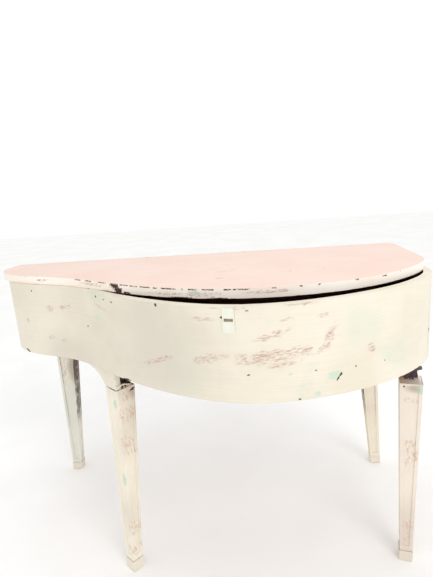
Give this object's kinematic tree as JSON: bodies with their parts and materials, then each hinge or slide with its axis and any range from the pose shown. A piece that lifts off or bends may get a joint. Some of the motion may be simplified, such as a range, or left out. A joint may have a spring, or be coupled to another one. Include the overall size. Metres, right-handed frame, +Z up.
{
  "type": "lift-lid table",
  "caption": "Piano-shaped occasional table: a flat lift-up lid over a deep curved storage case, on four splayed square tapered legs.",
  "frame": {"origin": "on the floor under the middle of the table's length and depth", "axes": "+Z up, +X along the straight back towards the wide end, +Y towards the back"},
  "size_m": [1.18, 0.5854, 0.76],
  "materials": {
    "lid_paint": "worn cream paint with a pink cast over wood, satin",
    "case_paint": "worn cream paint over older mint paint and wood, satin",
    "leg_paint": "worn cream paint over wood, satin",
    "cuff_paint": "worn cream paint over wood, satin",
    "bare_wood": "old dark wood, unpainted",
    "plate_paint": "painted over with the case",
    "hinge_steel": "dulled plated steel",
    "screw_steel": "dulled steel"
  },
  "bodies": {
    "case": {"rim": "case_paint", "back_board": "case_paint", "bottom_board": "bare_wood", "corner_block_tail": "bare_wood", "corner_block_wide_end": "bare_wood", "knee_bracket_front_left": "leg_paint", "keyhole_plate": "plate_paint", "keyhole_plate_nails": "plate_paint", "leg_block_screws": "screw_steel", "hinge_case_leaf_left": "hinge_steel", "hinge_case_leaf_right": "hinge_steel", "hinge_pin_left": "hinge_steel", "hinge_pin_right": "hinge_steel", "hinge_screws_case": "screw_steel", "leg_front_left": "leg_paint", "leg_cuff_front_left": "cuff_paint", "leg_block_front_left": "bare_wood", "leg_front_right": "leg_paint", "leg_cuff_front_right": "cuff_paint", "leg_block_front_right": "bare_wood", "leg_back_left": "leg_paint", "leg_cuff_back_left": "cuff_paint", "leg_block_back_left": "bare_wood", "leg_back_right": "leg_paint", "leg_cuff_back_right": "cuff_paint", "leg_block_back_right": "bare_wood"},
    "lid": {"lid": "lid_paint", "hinge_lid_leaf_left": "hinge_steel", "hinge_lid_leaf_right": "hinge_steel", "hinge_screws_lid": "screw_steel"}
  },
  "joints": [
    {"name": "lid_hinge", "type": "hinge", "parent": "case", "child": "lid", "pos_m": [0, 0.26058, 0.73885], "axis": [-1, 0, 0], "range_deg": [0, 180]}
  ]
}
